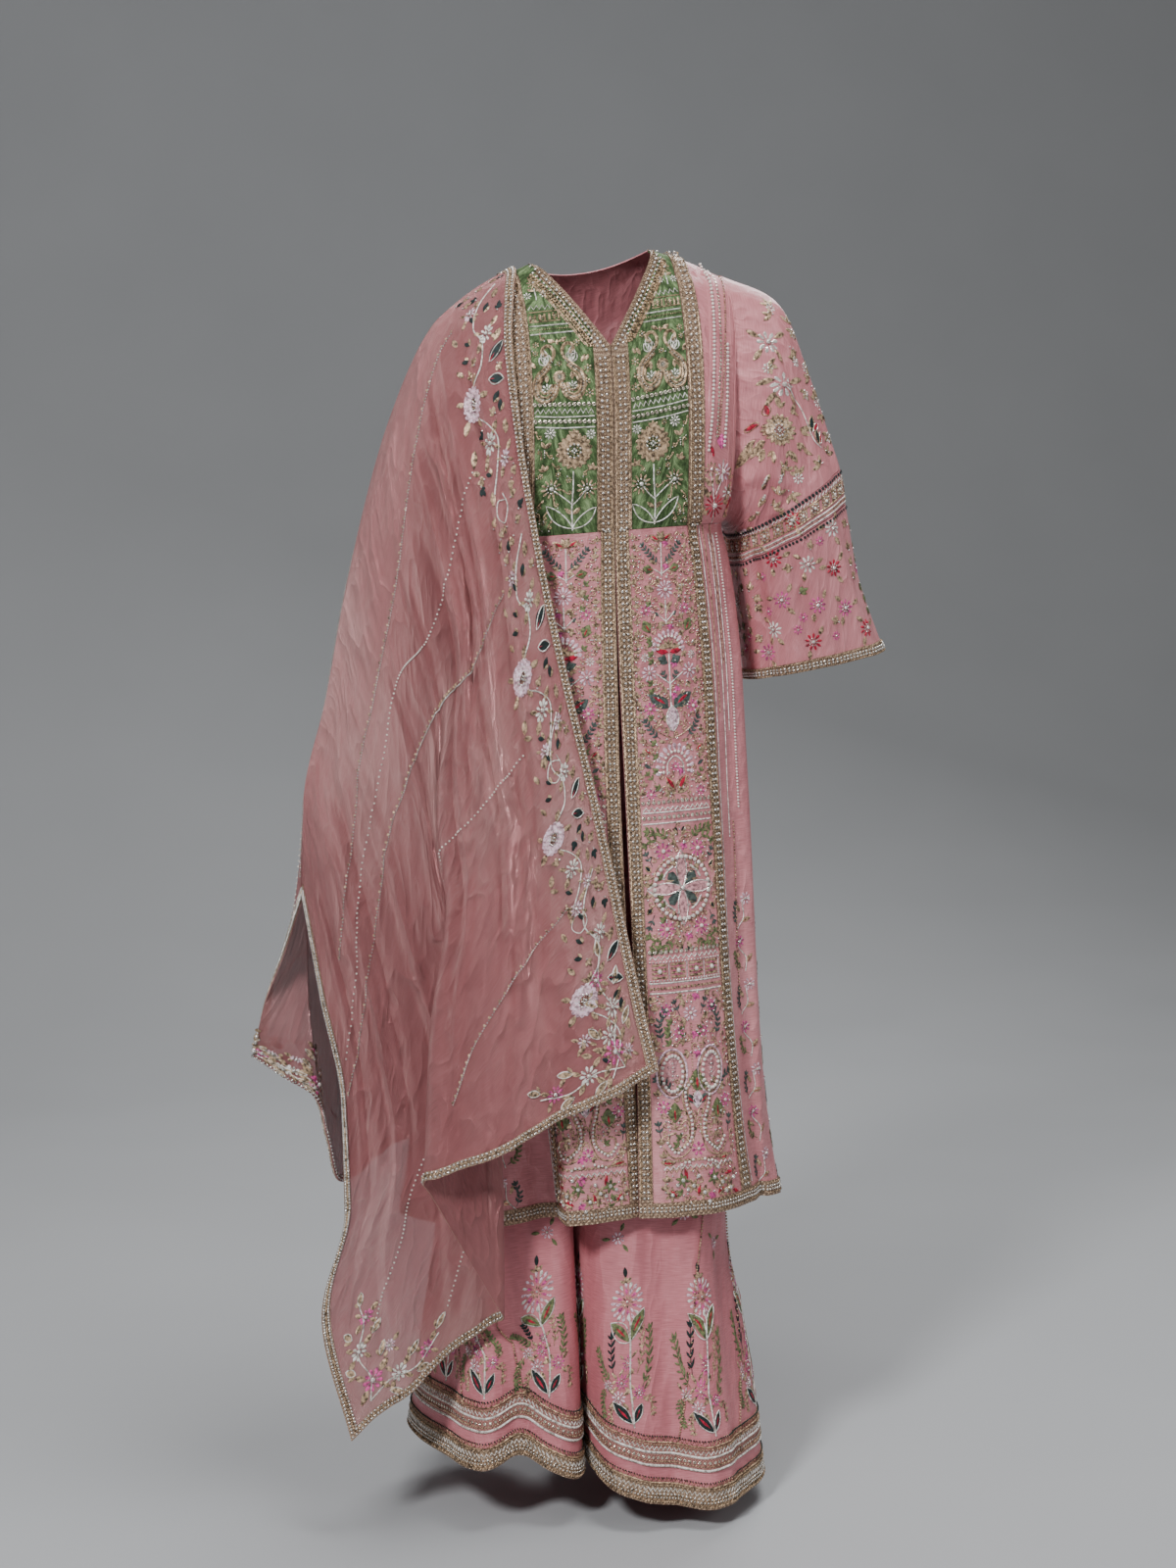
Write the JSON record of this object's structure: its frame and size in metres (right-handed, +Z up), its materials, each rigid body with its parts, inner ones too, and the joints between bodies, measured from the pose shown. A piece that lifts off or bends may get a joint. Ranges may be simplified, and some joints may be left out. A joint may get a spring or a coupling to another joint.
{
  "type": "salwar kameez suit",
  "caption": "Worn salwar kameez suit: long open-fronted embroidered kurta, wide trousers and a sheer dupatta over one shoulder, hollow, held at the shoulders.",
  "frame": {"origin": "midway between the two neck-shoulder points of the kurta, where the wearer's shoulders hold the suit", "axes": "+Z up the wearer, -Y out of the front, +X to the wearer's left"},
  "size_m": [0.7917, 0.4458, 1.5081],
  "materials": {
    "kurta_silk": "satin pink silk",
    "trouser_silk": "satin pink silk",
    "velvet": "matt green velvet",
    "organza": "sheer pink organza with a silvery sheen",
    "gold_work": "antique gold thread and bead trim"
  },
  "bodies": {
    "root": {"bodice_back": "kurta_silk", "bodice_border_left": "gold_work", "bodice_border_right": "gold_work", "bodice_side_left": "kurta_silk", "bodice_side_right": "kurta_silk", "cuff_trim_left": "gold_work", "cuff_trim_right": "gold_work", "dupatta_back": "organza", "dupatta_front": "organza", "hem_back": "gold_work", "hem_front_left": "gold_work", "hem_front_right": "gold_work", "hem_gore_left": "gold_work", "hem_gore_right": "gold_work", "leg_band_left": "gold_work", "leg_band_right": "gold_work", "leg_hem_left": "gold_work", "leg_hem_right": "gold_work", "leg_left": "trouser_silk", "leg_right": "trouser_silk", "neck_trim_left": "gold_work", "neck_trim_right": "gold_work", "placket_bodice_left": "gold_work", "placket_bodice_right": "gold_work", "placket_skirt_left": "gold_work", "placket_skirt_right": "gold_work", "skirt_back": "kurta_silk", "skirt_border_left": "gold_work", "skirt_border_right": "gold_work", "skirt_front_left": "kurta_silk", "skirt_front_right": "kurta_silk", "skirt_gore_left": "kurta_silk", "skirt_gore_right": "kurta_silk", "sleeve_band_left": "kurta_silk", "sleeve_band_right": "kurta_silk", "sleeve_lower_left": "kurta_silk", "sleeve_lower_right": "kurta_silk", "sleeve_upper_left": "kurta_silk", "sleeve_upper_right": "kurta_silk", "tape_back_end": "gold_work", "tape_back_inner": "gold_work", "tape_back_outer": "gold_work", "tape_front_end": "gold_work", "tape_front_inner": "gold_work", "tape_front_outer": "gold_work", "waistband": "trouser_silk", "yoke_left": "velvet", "yoke_right": "velvet"}
  },
  "joints": []
}
